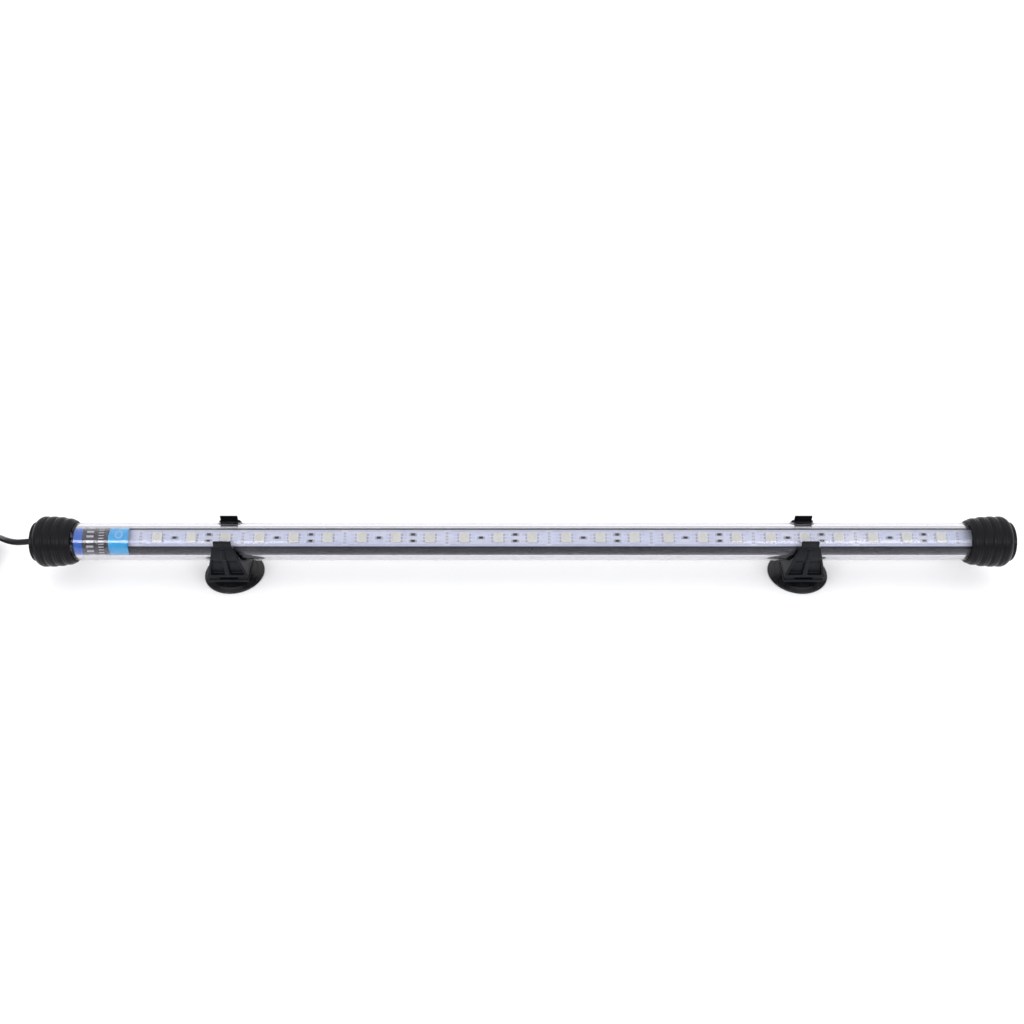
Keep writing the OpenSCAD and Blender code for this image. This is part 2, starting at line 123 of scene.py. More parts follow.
class Finish:
    """A procedural material: a Principled shader with noise in its colour, roughness and bump."""

    def __init__(self, name, **inputs):
        self.material = bpy.data.materials.new(name)
        self.material.use_nodes = True
        self.tree = self.material.node_tree
        self.shader = self.tree.nodes["Principled BSDF"]
        for key, value in inputs.items():
            socket = self.shader.inputs[key.replace("_", " ")]
            socket.default_value = (*value, 1) if isinstance(value, tuple) else value
        self.coordinates = self.tree.nodes.new("ShaderNodeTexCoord").outputs["Object"]

    def node(self, kind, **inputs):
        made = self.tree.nodes.new(kind)
        for key, value in inputs.items():
            socket = made.inputs[key.replace("_", " ")]
            if isinstance(value, bpy.types.NodeSocket):
                self.tree.links.new(value, socket)
            else:
                socket.default_value = value
        return made

    def stretched(self, x, y, z):
        made = self.node("ShaderNodeMapping", Vector=self.coordinates)
        made.inputs["Scale"].default_value = (x, y, z)
        return made.outputs["Vector"]

    def noise(self, scale, detail=3.0, vector=None, roughness=0.55):
        made = self.node(
            "ShaderNodeTexNoise", Vector=vector or self.coordinates, Scale=scale,
            Detail=detail, Roughness=roughness,
        )
        return made.outputs["Fac"]

    def spread(self, factor, low, high, from_low=0.3, from_high=0.7):
        made = self.node("ShaderNodeMapRange", Value=factor)
        made.inputs["From Min"].default_value = from_low
        made.inputs["From Max"].default_value = from_high
        made.inputs["To Min"].default_value = low
        made.inputs["To Max"].default_value = high
        return made.outputs["Result"]

    def colours(self, factor, stops, name="Base Color"):
        ramp = self.tree.nodes.new("ShaderNodeValToRGB")
        elements = ramp.color_ramp.elements
        while len(elements) < len(stops):
            elements.new(0.5)
        for element, (place, colour) in zip(elements, stops):
            element.position = place
            element.color = (*colour, 1)
        self.tree.links.new(factor, ramp.inputs["Fac"])
        if name:
            self.tree.links.new(ramp.outputs["Color"], self.shader.inputs[name])
        return ramp.outputs["Color"]

    def link(self, output, name):
        self.tree.links.new(output, self.shader.inputs[name])
        return self

    def bump(self, height, strength, distance):
        made = self.node("ShaderNodeBump", Strength=strength, Distance=distance, Height=height)
        previous = self.shader.inputs["Normal"]
        if previous.is_linked:
            self.tree.links.new(previous.links[0].from_socket, made.inputs["Normal"])
        self.tree.links.new(made.outputs["Normal"], previous)
        return self


def moulded(name, dark, light, rough, grain_mm=0.35, depth_mm=0.02, **inputs):
    """Moulded rubber or plastic: fine grain, a little mottling, and uneven gloss."""
    finish = Finish(name, **inputs)
    mottle = finish.noise(180, 4)
    finish.colours(mottle, [(0.25, dark), (0.75, light)])
    grain = finish.noise(1 / (grain_mm * MM), 2)
    finish.link(finish.spread(finish.noise(900, 3), rough[0], rough[1]), "Roughness")
    finish.bump(grain, 0.35, depth_mm * MM)
    finish.bump(finish.noise(260, 3), 0.25, 0.05 * MM)
    return finish.material


def clear_acrylic(name, tint):
    """Clear acrylic with faint drawing lines along the tube."""
    finish = Finish(
        name, Base_Color=tint, Transmission_Weight=1.0, IOR=1.49,
        Specular_Tint=(0.4, 0.4, 0.45),
    )
    lines = finish.noise(60, 3, finish.stretched(0.4, 12, 12))
    finish.link(finish.spread(finish.noise(140, 4), 0.0, 0.035, 0.45, 0.8), "Roughness")
    finish.bump(lines, 0.03, 0.05 * MM)
    return finish.material


def white_mask():
    """The strip's white solder mask, bluish in places, with a faint weave of the film below it."""
    finish = Finish("white_mask", Specular_IOR_Level=0.55, Coat_Weight=0.3, Coat_Roughness=0.12)
    cloud = finish.noise(70, 3, finish.stretched(0.5, 2, 2))
    finish.colours(cloud, [
        (0.3, (0.72, 0.78, 0.97)), (0.55, (0.82, 0.86, 0.99)), (0.75, (0.9, 0.92, 0.99))
    ])
    finish.link(finish.spread(finish.noise(600, 2), 0.22, 0.38), "Roughness")
    finish.bump(finish.noise(2500, 2), 0.15, 0.01 * MM)
    return finish.material


def copper_under_mask():
    """Copper that shows through the white mask as slightly raised, bluish lines."""
    finish = Finish("copper_under_mask", Coat_Weight=0.3, Coat_Roughness=0.12)
    finish.colours(finish.noise(500, 2), [(0.3, (0.66, 0.7, 0.88)), (0.7, (0.76, 0.8, 0.94))])
    finish.link(finish.spread(finish.noise(700, 2), 0.25, 0.4), "Roughness")
    finish.bump(finish.noise(2000, 2), 0.15, 0.01 * MM)
    return finish.material


def metal(name, dark, light, rough, scale=500, depth_mm=0.015):
    """Plated or tinned metal with an uneven surface."""
    finish = Finish(name, Metallic=1.0)
    finish.colours(finish.noise(scale, 3), [(0.3, dark), (0.7, light)])
    finish.link(finish.spread(finish.noise(scale * 2, 3), rough[0], rough[1]), "Roughness")
    finish.bump(finish.noise(scale * 3, 2), 0.2, depth_mm * MM)
    return finish.material


def anodised_bar():
    """Dark anodised extrusion, with fine lines along its length."""
    finish = Finish("anodised_bar", Specular_IOR_Level=0.3)
    lines = finish.noise(900, 4, finish.stretched(0.01, 1, 1))
    finish.colours(lines, [(0.3, (0.006, 0.007, 0.014)), (0.7, (0.013, 0.014, 0.022))])
    finish.link(finish.spread(finish.noise(500, 3), 0.26, 0.42), "Roughness")
    finish.bump(lines, 0.12, 0.02 * MM)
    return finish.material


def led_resin():
    """Clear resin, faintly yellow, over the chips in a package."""
    finish = Finish(
        "led_resin", IOR=1.5, Subsurface_Weight=0.2, Subsurface_Scale=0.0005,
        Coat_Weight=0.6, Coat_Roughness=0.05,
    )
    finish.colours(finish.noise(900, 2), [(0.3, (0.86, 0.86, 0.72)), (0.7, (0.91, 0.91, 0.81))])
    finish.link(finish.spread(finish.noise(1200, 2), 0.08, 0.2), "Roughness")
    finish.bump(finish.noise(500, 2), 0.2, 0.03 * MM)
    return finish.material


def floor_paper():
    finish = Finish("floor_paper")
    finish.colours(finish.noise(6, 3), [(0.3, (0.955, 0.955, 0.96)), (0.7, (0.97, 0.97, 0.975))])
    finish.link(finish.spread(finish.noise(40, 3), 0.6, 0.75), "Roughness")
    finish.bump(finish.noise(900, 3), 0.05, 0.02 * MM)
    return finish.material


# The outside's grey-blue tint is painted shade: it darkens everything seen through the tube, standing
# in for the darker surroundings that the tube refracts.
SHADE_TINTED_ACRYLIC_OUTSIDE = clear_acrylic("acrylic_outside_painted_shade", (0.76, 0.75, 0.79))
ACRYLIC_BORE = clear_acrylic("acrylic_bore", (0.96, 0.96, 0.98))
CAP_RUBBER = moulded(
    "cap_rubber", (0.002, 0.002, 0.003), (0.005, 0.005, 0.0065), (0.26, 0.4),
    Specular_IOR_Level=0.13,
)
CUP_RUBBER = moulded(
    "cup_rubber", (0.003, 0.003, 0.004), (0.007, 0.007, 0.0085), (0.24, 0.4), 0.5, 0.012,
    Specular_IOR_Level=0.26,
)
CLIP_PLASTIC = moulded(
    "clip_plastic", (0.003, 0.0035, 0.005), (0.007, 0.008, 0.0105), (0.26, 0.42), 0.25, 0.02,
    Specular_IOR_Level=0.14,
)
LEAD_JACKET = moulded(
    "lead_jacket", (0.003, 0.003, 0.004), (0.006, 0.006, 0.007), (0.26, 0.4), 0.3, 0.01,
    Specular_IOR_Level=0.2,
)
GROMMET_RUBBER = moulded(
    "grommet_rubber", (0.006, 0.006, 0.007), (0.012, 0.012, 0.014), (0.42, 0.6), 0.3, 0.02,
    Specular_IOR_Level=0.3,
)
SILICONE = moulded("silicone", (0.45, 0.45, 0.43), (0.62, 0.62, 0.6), (0.45, 0.62), 0.4, 0.02)
SLEEVE_FILM = moulded("sleeve_film", (0.03, 0.03, 0.033), (0.05, 0.05, 0.054), (0.4, 0.55))
TIE_BAND = moulded("tie_band", (0.02, 0.02, 0.022), (0.035, 0.035, 0.04), (0.35, 0.5))
PLUG_PLASTIC = moulded("plug_plastic", (0.014, 0.014, 0.016), (0.025, 0.025, 0.028), (0.34, 0.5))
TAPE_FOAM = moulded("tape_foam", (0.6, 0.55, 0.38), (0.72, 0.67, 0.5), (0.6, 0.8), 0.3, 0.05)
RED_PVC = moulded("red_pvc", (0.4, 0.012, 0.01), (0.6, 0.03, 0.02), (0.25, 0.4), 0.3, 0.01)
BLACK_PVC = moulded("black_pvc", (0.01, 0.01, 0.011), (0.02, 0.02, 0.022), (0.25, 0.4), 0.3, 0.01)
BAR_METAL = anodised_bar()
WHITE_MASK = white_mask()
TRACE = copper_under_mask()
PACKAGE = moulded(
    "led_body", (0.86, 0.86, 0.84), (0.95, 0.95, 0.94), (0.25, 0.4), 0.2, 0.01,
    Specular_IOR_Level=0.5,
)
RESIN = led_resin()
CHIP = moulded("led_chip", (0.12, 0.1, 0.03), (0.25, 0.2, 0.06), (0.2, 0.35), 0.1, 0.01)
SOLDER = metal("solder", (0.42, 0.43, 0.48), (0.58, 0.59, 0.64), (0.3, 0.45), 900, 0.03)
RESISTOR_BODY = moulded("resistor_body", (0.012, 0.012, 0.014), (0.03, 0.03, 0.032), (0.2, 0.35))
RESISTOR_BASE = moulded("resistor_base", (0.7, 0.7, 0.68), (0.8, 0.8, 0.78), (0.4, 0.55))
NICKEL = metal("nickel", (0.62, 0.61, 0.6), (0.8, 0.79, 0.78), (0.1, 0.24), 300)


# ---------------------------------------------------------------- mesh helpers

def link(name, shape, material, body, slot, replaced=(), sharp=38):
    """One visible piece on its body, from a mesh or from a pair of points and faces."""
    mesh = mesh_of(name, *shape) if isinstance(shape, tuple) else shape
    obj = bpy.data.objects.new(name, mesh)
    scene.collection.objects.link(obj)
    for one in material if isinstance(material, (list, tuple)) else [material]:
        mesh.materials.append(one)
    mesh.shade_smooth()
    mesh.set_sharp_from_angle(angle=math.radians(sharp))
    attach(obj, body)
    if replaced:
        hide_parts(*replaced)
    return obj


def mesh_of(name, points, faces):
    mesh = bpy.data.meshes.new(name)
    mesh.from_pydata(points, [], faces)
    mesh.update()
    made = bmesh.new()
    made.from_mesh(mesh)
    bmesh.ops.recalc_face_normals(made, faces=made.faces)
    made.to_mesh(mesh)
    made.free()
    return mesh


def along_x(x, r, angle):
    """A point about the tube's axis. Angle 0 is up and 90 degrees is to the front."""
    return Vector((x, -r * math.sin(angle), AXIS_Z + r * math.cos(angle)))


def aimed(x, across, up):
    """A point in the frame of the LED strip, which is turned about the tube's axis."""
    return Vector((
        x,
        across * math.cos(AIM) - up * math.sin(AIM),
        AXIS_Z + across * math.sin(AIM) + up * math.cos(AIM),
    ))


def revolved(profile, place, segments=96, closed=False):
    """Points and faces of a profile of (along, radius) turned about an axis. place(along, radius,
    angle) gives a point. Radius 0 at an end makes a pole; a closed profile makes a ring."""
    points, rings = [], []
    for along, radius in profile:
        if radius < 1e-9:
            rings.append([len(points)] * segments)
            points.append(place(along, 0, 0))
        else:
            rings.append(list(range(len(points), len(points) + segments)))
            points += [place(along, radius, math.tau * k / segments) for k in range(segments)]
    faces = []
    pairs = list(zip(rings, rings[1:])) + ([(rings[-1], rings[0])] if closed else [])
    for a, b in pairs:
        for k in range(segments):
            n = (k + 1) % segments
            face = list(dict.fromkeys([a[k], a[n], b[n], b[k]]))
            if len(face) > 2:
                faces.append(face)
    return points, faces


def join(parts):
    """One list of points and faces from several."""
    points, faces = [], []
    for some_points, some_faces in parts:
        start = len(points)
        points += some_points
        faces += [[start + i for i in face] for face in some_faces]
    return points, faces


def bevelled_box(low, high, place, bevel):
    """A box with its edges cut off: four rings of eight corners, placed by place(x, y, z)."""
    (x0, y0, z0), (x1, y1, z1) = low, high
    points, faces = [], []
    levels = [(z0, bevel), (z0 + bevel, 0), (z1 - bevel, 0), (z1, bevel)]
    for z, inset in levels:
        a0, a1, b0, b1 = x0 + inset, x1 - inset, y0 + inset, y1 - inset
        corners = [
            (a0 + bevel, b0), (a1 - bevel, b0), (a1, b0 + bevel), (a1, b1 - bevel),
            (a1 - bevel, b1), (a0 + bevel, b1), (a0, b1 - bevel), (a0, b0 + bevel),
        ]
        points += [place(x, y, z) for x, y in corners]
    for level in range(3):
        for k in range(8):
            n = (k + 1) % 8
            start = level * 8
            faces.append([start + k, start + n, start + 8 + n, start + 8 + k])
    faces += [list(range(7, -1, -1)), list(range(24, 32))]
    return points, faces


def tube_mesh(path, radius, sides):
    """Points and faces of a round tube along a path, closed at both ends."""
    points, faces = [], []
    normal = Vector((0, 0, 1))
    for i, point in enumerate(path):
        before, after = path[max(i - 1, 0)], path[min(i + 1, len(path) - 1)]
        heading = (after - before).normalized()
        across = heading.cross(normal)
        across = across.normalized() if across.length > 1e-6 else Vector((0, 1, 0))
        over = across.cross(heading)
        points += [
            point + radius * (math.cos(math.tau * k / sides) * across
                         + math.sin(math.tau * k / sides) * over)
            for k in range(sides)
        ]
    for i in range(len(path) - 1):
        for k in range(sides):
            n = (k + 1) % sides
            a, b = i * sides, (i + 1) * sides
            faces.append([a + k, a + n, b + n, b + k])
    last = (len(path) - 1) * sides
    faces += [list(range(sides - 1, -1, -1)), list(range(last, last + sides))]
    return points, faces


def smooth_path(points, step):
    """Points a step apart along a Catmull-Rom curve through the given ones."""
    points = [Vector(p) for p in points]
    padded = [2 * points[0] - points[1], *points, 2 * points[-1] - points[-2]]
    path = []
    for p0, p1, p2, p3 in zip(padded, padded[1:], padded[2:], padded[3:]):
        count = max(2, round((p2 - p1).length / step))
        for k in range(count):
            t = k / count
            path.append(0.5 * (
                2 * p1 + (p2 - p0) * t + (2 * p0 - 5 * p1 + 4 * p2 - p3) * t * t
                + (3 * p1 - p0 - 3 * p2 + p3) * t ** 3
            ))
    return path + [points[-1]]


# ---------------------------------------------------------------- lead, coil and plug

LEAD_ROUTE = [
    (-240, 0, 21.8), (-243, 0, 21.8), (-246, 0.1, 21.4), (-249, 0.6, 20.7),
    (-252, 1.6, 19.9), (-256, 4, 18.4), (-260, 7.4, 16.2), (-264, 11.3, 13.6),
    (-267.5, 14.4, 10.9), (-270.5, 17.2, 8.7), (-273.5, 18.8, 5.9), (-276.5, 19.9, 3.7),
    (-280, 20.7, 2.2), (-284, 20.9, 1.6), (-287, 20.7, 1.5), (-290, 20.5, 1.5),
]
TAIL_ROUTE = [
    (-309.5, 1, 10.5), (-308.8, -4.1, 10.7), (-306.9, -8.8, 11.3), (-303.8, -12.8, 12.1),
    (-299.7, -15.9, 12.9), (-295, -17.8, 13.6), (-290, -18.4, 14.1), (-285, -17.6, 14.6),
    (-280.5, -15.4, 15.1), (-276.9, -12.1, 15.6), (-274.3, -8.1, 16.1), (-272.8, -3.6, 16.6),
    (-272.4, 0, 16.9), (-273, 3.3, 17.1), (-274.7, 6.1, 17.3), (-277.1, 7.9, 17.4),
    (-280, 8.5, 17.4),
]
COIL_X, COIL_Y = -290, 1
COIL_R = 16.5
COIL_COLUMNS = 3
COIL_LAYERS = 4
POINTS_PER_TURN = 24
START_SHARE = 0.25
COIL_TURNS = 11.25


def coil_points():
    """The turns of the coil, from its far side: each layer spirals in or out on the one below."""
    points = []
    turns = COIL_COLUMNS * COIL_LAYERS
    step_share = 0.22
    pitch = 2 * LEAD_R / MM

    def place(turn):
        layer, column = divmod(turn, COIL_COLUMNS)
        if layer % 2:
            column = COIL_COLUMNS - 1 - column
        return COIL_R + pitch * ((COIL_COLUMNS - 1) / 2 - column), pitch * (layer + 0.5)

    for i in range(1, round(COIL_TURNS * POINTS_PER_TURN)):
        turn, share = divmod(i / POINTS_PER_TURN, 1)
        r, z = place(int(turn))
        if share > 1 - step_share and turn < turns - 1:
            next_r, next_z = place(int(turn) + 1)
            t = (share - 1 + step_share) / step_share
            t = t * t * (3 - 2 * t)
            r, z = r + (next_r - r) * t, z + (next_z - z) * t
        angle = math.tau * (START_SHARE + i / POINTS_PER_TURN)
        points.append((COIL_X + r * math.cos(angle), COIL_Y + r * math.sin(angle), z))
    return points


def make_lead():
    route = [Vector(p) * MM for p in LEAD_ROUTE + coil_points() + TAIL_ROUTE]
    path = smooth_path(route, 1.6 * MM)
    length = sum((b - a).length for a, b in zip(path, path[1:]))
    points, faces = tube_mesh(path, LEAD_R, 14)
    lead = link(
        "power_lead", (points, faces), LEAD_JACKET, "light", "lead_jacket",
        ("lead", "lead_coil", "lead_tail"), 60,
    )
    return lead, path, length


lead_piece, lead_path, lead_length = make_lead()


def make_tie():
    """A flat band with rounded edges and an overlapped end, round the turns of the coil."""
    low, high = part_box("coil_tie")
    half, top = (high.x - low.x) / 2, high.z
    centre_x = (low.x + high.x) / 2
    corner, skin = 1.6 * MM, 0.5 * MM

    def loop(inset, count=8):
        ring = []
        corners = [
            (centre_x + half - corner, top - corner, 0), (centre_x - half + corner, top - corner, 90),
            (centre_x - half + corner, corner, 180), (centre_x + half - corner, corner, 270),
        ]
        for x, z, start in corners:
            for k in range(count + 1):
                angle = math.radians(start + 90 * k / count)
                r = corner - inset
                ring.append((x + r * math.cos(angle), z + r * math.sin(angle)))
        return ring

    outer, inner = loop(0), loop(skin)
    count = len(outer)
    points, faces = [], []
    edge = 0.12 * MM
    sections = [
        (outer, low.y + edge), (outer, high.y - edge), (loop(edge), high.y),
        (loop(skin - edge), high.y), (inner, high.y - edge), (inner, low.y + edge),
        (loop(skin - edge), low.y), (loop(edge), low.y),
    ]
    for ring, y in sections:
        points += [Vector((x, y, z)) for x, z in ring]
    for s in range(len(sections)):
        a, b = s * count, (s + 1) % len(sections) * count
        for k in range(count):
            n = (k + 1) % count
            faces.append([a + k, a + n, b + n, b + k])
    return link("lead_tie", (points, faces), TIE_BAND, "light", "coil_tie", ("coil_tie",))


def plug_place(along, radius, angle):
    """A point about the plug's axis, which runs on from the tail of the lead."""
    end = Vector(TAIL_ROUTE[-1]) * MM
    return end + Vector((-along, radius * math.cos(angle), radius * math.sin(angle)))


def make_plug():
    """A moulded barrel plug: ribbed strain relief, gripped body, metal barrel and insulated tip."""
    relief = [(0, 0), (0, 2.1)]
    for k in range(4):
        start, r = 0.3 + 1.9 * k, 2.15 + 0.27 * k
        relief += [(start, r), (start + 0.15, r + 0.15), (start + 1.1, r + 0.18),
                   (start + 1.25, r), (start + 1.35, r - 0.35), (start + 1.8, r - 0.33)]
    body = [(8, 3.1), (8, 4.3), (8.25, 4.6), (9.3, 5.15), (9.8, 5.28)]
    for k in range(6):
        start = 11.4 + 1.6 * k
        body += [(start, 5.28), (start + 0.12, 5.2), (start + 0.2, 4.92), (start + 0.75, 4.92),
                 (start + 0.83, 5.2), (start + 0.95, 5.28)]
    body += [(22.2, 5.28), (22.6, 5.2), (22.9, 4.95), (23, 4.6), (23, 0)]
    profile = [(a * MM, r * MM) for a, r in relief + body]
    plug = link(
        "plug_moulding", revolved(profile, plug_place, 72),
        PLUG_PLASTIC, "light", "plug_plastic", ("plug_body",), 50,
    )
    barrel = [(22.95, 2.25), (22.95, 2.75), (32.2, 2.75), (32.42, 2.68), (32.5, 2.55),
              (32.5, 2.3), (32.4, 2.25)]
    shell = link(
        "plug_shell", revolved(
            [(a * MM, r * MM) for a, r in barrel], plug_place, 72, True),
        NICKEL, "light", "plug_metal", ("plug_barrel",), 50,
    )
    tip = [(22.95, 1.05), (22.95, 2.22), (32.55, 2.22), (32.75, 2.1), (32.8, 1.9),
           (32.8, 1.25), (32.7, 1.1), (32.4, 1.05)]
    insulator = link(
        "plug_insulator", revolved(
            [(a * MM, r * MM) for a, r in tip], plug_place, 64, True),
        PLUG_PLASTIC, "light", "plug_plastic", ("plug_tip",), 50,
    )
    return [plug, shell, insulator]


def make_grommet():
    """The collar that the lead leaves through: a sleeve in the cap's end with a rounded lip."""
    low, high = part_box("cable_grommet")
    lip = -CAP_TIP_X
    bore = LEAD_R + FIT_GAP
    sleeve = 2.5 * MM
    profile = [
        (low.x, bore), (low.x, 1.85 * MM), (low.x + 0.1 * MM, 2 * MM),
        (low.x + 0.7 * MM, 2.28 * MM), (low.x + 1.2 * MM, 2.55 * MM),
        (low.x + 1.75 * MM, 2.82 * MM), (lip - 0.02 * MM, 2.9 * MM), (lip, sleeve),
        (high.x, sleeve), (high.x, bore),
    ]
    return link(
        "strain_collar", revolved(profile, along_x, 64, True),
        GROMMET_RUBBER, "light", "gasket_rubber", ("cable_grommet",), 45,
    )


tie = make_tie()
plug_pieces = make_plug()
collar = make_grommet()
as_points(lead_path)


# ---------------------------------------------------------------- tube, caps and seals

def make_tube():
    """The clear tube: one material on its outside and ends, another on its bore."""
    edge = 0.25 * MM
    x0, x1 = tube_low.x, tube_high.x
    steps = 48
    outer = [(x0 + edge + (x1 - x0 - 2 * edge) * k / steps, TUBE_R) for k in range(steps + 1)]
    inner = [(x, BORE_R) for x, _ in reversed(outer)]
    profile = [(x0, TUBE_R - edge), *outer, (x1, TUBE_R - edge), (x1, BORE_R + edge),
               *inner, (x0, BORE_R + edge)]
    tube = link(
        "acrylic_tube", revolved(profile, along_x, 192, True),
        [SHADE_TINTED_ACRYLIC_OUTSIDE, ACRYLIC_BORE], "light", "clear_tube", ("clear_tube",), 40,
    )
    wall_middle = (TUBE_R + BORE_R) / 2
    for face in tube.data.polygons:
        centre = face.center - Vector((face.center.x, 0, AXIS_Z))
        face.material_index = int(centre.length < wall_middle)
    return tube


RIB_ARC = 4
RIB_COUNT = 4
RIB_GROOVE = 0.16
CAP_LIP_R = 10.6
CAP_LIP_ARC = 0.9
CAP_SHOULDER = 12.5
CAP_CORNER = 7.8
CAP_END_INSET = 0.4
CAP_WALL_R = 9.6
DOME_RING = 0.07
DOME_RING_PITCH = 1.1
GASKET = 1
TUBE_END = tube_high.x / MM


def cap_size(side):
    """A cap's length and the spacing of its ribs, in millimetres; the left cap is shorter."""
    low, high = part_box("left_end_cap" if side < 0 else "right_end_cap")
    return (high.x - low.x) / MM, 3.8 if side < 0 else 4.2


def cap_crest(z):
    """Radius over the crests of a cap's ribs, in millimetres, at a distance from its lip."""
    away = max(0, CAP_SHOULDER - z) / CAP_SHOULDER
    return CAP_R / MM - (CAP_R / MM - CAP_LIP_R) * away * away


def arc_r(z, centre_r, centre_z, radius):
    """Outer radius of a circle of a section at a height, or 0 off the circle."""
    off = abs(z - centre_z)
    return centre_r + math.sqrt(radius ** 2 - off ** 2) if off < radius else 0


def cap_outline(side):
    """The outside of a cap as (distance from the lip, radius): a lip, ribs and a ringed dome."""
    length, pitch = cap_size(side)
    step = 0.08
    centre_r = CAP_R / MM - CAP_CORNER - CAP_END_INSET
    ribs = [pitch - 0.3 + k * pitch for k in range(RIB_COUNT)]
    dome_start = ribs[-1] + RIB_ARC
    outline = []
    for i in range(int(length / step)):
        z = i * step
        crests = [arc_r(z, cap_crest(rib) - RIB_ARC, rib, RIB_ARC) for rib in ribs]
        lip = arc_r(z, CAP_LIP_R - CAP_LIP_ARC, CAP_LIP_ARC, CAP_LIP_ARC)
        dome = arc_r(z, centre_r, length - CAP_CORNER, CAP_CORNER) if z > length - CAP_CORNER else 0
        if dome and z > dome_start:
            dome -= DOME_RING * (1 + math.cos((z - dome_start) / DOME_RING_PITCH * math.tau))
        r = max(*crests, lip, dome, CAP_WALL_R)
        if r > CAP_WALL_R + 0.1:
            r -= RIB_GROOVE * max(0, math.cos((z - ribs[0]) / pitch * math.tau)) ** 8
        outline.append((z, min(r, CAP_R / MM)))
    outline += [(length - 0.02, centre_r + 0.5), (length, centre_r)]
    return outline


def make_cap(side):
    """A rubber cap: ribbed outside, a bore over the tube's end, and a hole for the collar."""
    name = "left" if side < 0 else "right"
    length = cap_size(side)[0]
    lip = CAP_TIP_X / MM - length
    grip = TUBE_END + GASKET - lip
    bore = (TUBE_R + FIT_GAP) / MM
    hole = 2.52 if side < 0 else 0
    tip = [(length, hole + 0.3), (length - 0.2, hole)] if side < 0 else [(length, 0)]
    inside = [(grip, hole), (grip, bore - 0.3), (grip - 0.3, bore), (0.3, bore), (0, bore + 0.3)]
    profile = cap_outline(side) + tip + inside
    placed = [(side * (lip + z) * MM, r * MM) for z, r in profile]
    points, faces = revolved(placed, along_x, 128, True)
    return link(
        f"{name}_cap", (points, faces), CAP_RUBBER, "light", "cap_rubber",
        (f"{name}_end_cap",), 50,
    )


def make_seam(side):
    """The moulding line along a cap, and the small nub where it was fed."""
    name = "left" if side < 0 else "right"
    parts = []
    length = cap_size(side)[0]
    lip = CAP_TIP_X - length * MM
    outline = [(z, r) for z, r in cap_outline(side)[6:-6:3]]
    for angle in (math.radians(178), math.radians(-2)):
        path = [along_x(side * (lip + z * MM), (r - 0.03) * MM, angle) for z, r in outline]
        parts.append(tube_mesh(path, 0.09 * MM, 6))
    nub_x = side * (lip + 15.8 * MM)
    nub = [(-0.55, 0), (-0.5, 0.3), (-0.2, 0.52), (0.3, 0.5), (0.45, 0.3), (0.5, 0)]
    parts.append(revolved(
        [(a * MM, r * MM) for a, r in nub],
        lambda along, r, angle: along_x(nub_x, CAP_R - 0.1 * MM, math.radians(178))
        + Vector((r * math.cos(angle), r * math.sin(angle), -along)), 20,
    ))
    return link(f"{name}_cap_seam", join(parts), CAP_RUBBER, "light", "cap_rubber", (), 60)


def make_seals():
    """The silicone plugs in the tube's ends and the gaskets between tube and caps."""
    for name in ("left", "right"):
        low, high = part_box(f"{name}_tube_plug")
        bore = LEAD_R + FIT_GAP if name == "left" else 0
        r, edge = BORE_R - FIT_GAP, 0.5 * MM
        profile = [(low.x, r - edge), (low.x + edge, r)]
        for k in range(3):
            start = low.x + (2 + 2.4 * k) * MM
            profile += [(start, r), (start + 0.3 * MM, r - 0.35 * MM),
                        (start + 0.9 * MM, r - 0.35 * MM), (start + 1.2 * MM, r)]
        profile += [(high.x - edge, r), (high.x, r - edge)]
        if bore:
            profile += [(high.x, bore + edge / 2), (high.x - edge / 2, bore),
                        (low.x + edge / 2, bore), (low.x, bore + edge / 2)]
        else:
            profile = [(low.x, 0), *profile, (high.x, 0)]
        link(
            f"{name}_bung", revolved(profile, along_x, 96, bool(bore)),
            SILICONE, "light", "seal_rubber", (f"{name}_tube_plug",), 40,
        )
        low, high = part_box(f"{name}_gasket")
        r, hole, edge = (high.z - low.z) / 2, 3 * MM, 0.2 * MM
        ring = [(low.x, hole + edge), (low.x, r - edge), (low.x + edge, r), (high.x - edge, r),
                (high.x, r - edge), (high.x, hole + edge), (high.x - edge, hole),
                (low.x + edge, hole)]
        link(
            f"{name}_seal_ring", revolved(ring, along_x, 96, True),
            GROMMET_RUBBER, "light", "gasket_rubber", (f"{name}_gasket",), 60,
        )


make_tube()
for cap_side in (-1, 1):
    make_cap(cap_side)
    make_seam(cap_side)
make_seals()


# ---------------------------------------------------------------- LED bar and strip

def make_bar():
    """The D-section bar: an extrusion with rounded corners and a hollow."""
    r, corner, wall = BORE_R - 0.2 * MM, 0.35 * MM, 1.0 * MM

    def section(radius, top, round_r, arc_steps=72):
        half = math.sqrt((radius - round_r) ** 2 - (top - round_r) ** 2)
        start = math.atan2(top - round_r, half)
        ring = []
        for k in range(7):
            angle = math.pi / 2 + (start - math.pi / 2) * k / 6
            ring.append((half + round_r * math.cos(angle), top - round_r + round_r * math.sin(angle)))
        for k in range(1, arc_steps):
            angle = start - (math.pi + 2 * start) * k / arc_steps
            ring.append((radius * math.cos(angle), radius * math.sin(angle)))
        for k in range(7):
            angle = math.pi - start + (start - math.pi / 2) * k / 6
            ring.append((-half + round_r * math.cos(angle), top - round_r + round_r * math.sin(angle)))
        return ring

    outer = section(r, FLAT_Z, corner)
    inner = section(r - wall, FLAT_Z - wall, corner)
    low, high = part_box("led_bar")
    count = len(outer)
    rings = [(outer, low.x), (outer, high.x), (inner, high.x), (inner, low.x)]
    points = [aimed(x, y, z) for ring, x in rings for y, z in ring]
    faces = []
    for s in range(4):
        a, b = s * count, (s + 1) % 4 * count
        for k in range(count):
            n = (k + 1) % count
            faces.append([a + k, a + n, b + n, b + k])
    link("bar_extrusion", (points, faces), BAR_METAL, "light", "bar", ("led_bar",), 30)


